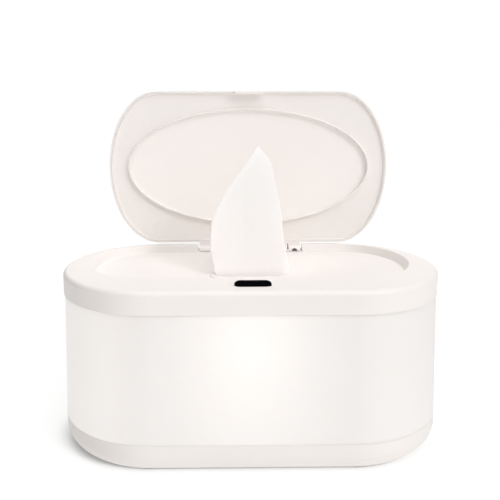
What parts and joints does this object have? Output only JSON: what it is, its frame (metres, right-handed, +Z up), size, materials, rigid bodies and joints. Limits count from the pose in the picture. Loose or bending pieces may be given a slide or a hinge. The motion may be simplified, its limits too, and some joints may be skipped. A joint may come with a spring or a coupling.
{
  "type": "baby wipe warmer",
  "caption": "Wide oval baby wipe warmer with a glowing translucent shell, a sprung touch-free lid standing open at the rear and a wipe raised in its slot.",
  "frame": {"origin": "centre of the footprint on the floor, under the centre of the body", "axes": "+X along the long side to the right, +Y to the rear where the lid is hinged, +Z up"},
  "size_m": [0.2706, 0.1806, 0.248],
  "materials": {
    "white_abs": "fine satin, warm white",
    "translucent_shell": "satin opal white that lets the night light through",
    "white_pom": "satin",
    "white_pp": "satin",
    "white_silicone": "soft matte",
    "grey_rubber": "matte",
    "steel": "plated",
    "wipe_cloth": "soft non-woven, moist",
    "aluminium_sheet": "plain sheet",
    "amber_film": "polyimide film",
    "grey_felt": "needle felt",
    "black_plastic": "matte black",
    "board_green": "solder mask",
    "contact_brass": "plated",
    "led_lens": "clear epoxy",
    "lead_rubber": "soft insulation",
    "black_lens": "polished black"
  },
  "bodies": {
    "housing": {"base_tray": "white_abs", "rubber_feet": "grey_rubber", "base_screws": "steel", "outer_shell": "translucent_shell", "inner_tub": "white_pp", "wipe_stack": "wipe_cloth", "heater_plate": "aluminium_sheet", "heater_film": "amber_film", "insulation_pad": "grey_felt", "thermostat": "black_plastic", "thermal_fuse": "steel", "control_board": "board_green", "board_components": "black_plastic", "tact_switch": "black_plastic", "power_jack": "black_plastic", "contact_pads": "contact_brass", "night_light_board": "board_green", "night_light_leds": "led_lens", "heater_leads": "lead_rubber", "light_leads": "lead_rubber"},
    "top": {"top_cover": "white_abs", "cover_liner": "white_pp", "cover_screws": "steel", "tub_seal": "white_silicone", "slot_ring": "white_silicone", "contact_pins": "contact_brass", "sensor_window": "black_lens", "sensor_board": "board_green", "ir_emitter": "led_lens", "ir_receiver": "black_lens", "latch_solenoid": "steel", "latch_spring": "steel", "hinge_pin": "steel", "damper_shaft": "white_pom", "hinge_spring": "steel", "wipe_sheet": "wipe_cloth"},
    "latch": {"latch_bolt": "white_pom", "solenoid_plunger": "steel"},
    "lid": {"lid_outer": "white_abs", "lid_inner": "white_abs", "lid_seal": "white_silicone", "latch_catch": "white_pom", "hinge_damper": "black_plastic"},
    "button": {"power_button": "white_pom"}
  },
  "joints": [
    {"name": "cover_lift", "type": "slide", "parent": "housing", "child": "top", "axis": [0, 0, 1], "range_m": [0, 0.09]},
    {"name": "lid_hinge", "type": "hinge", "parent": "top", "child": "lid", "pos_m": [0, 0.0855, 0.1195], "axis": [1, 0, 0], "range_deg": [0, 90], "stiffness_Nm_per_rad": 0.058, "springref_deg": -29.79, "deforming": ["wipe_sheet", "hinge_spring"]},
    {"name": "latch_slide", "type": "slide", "parent": "top", "child": "latch", "axis": [0, -1, 0], "range_m": [0, 0.0033], "stiffness_N_per_m": 250, "springref_m": -0.002, "deforming": ["latch_spring"]},
    {"name": "button_press", "type": "slide", "parent": "housing", "child": "button", "axis": [0, -1, 0], "range_m": [0, 0.001], "stiffness_N_per_m": 400, "springref_m": -0.001}
  ]
}
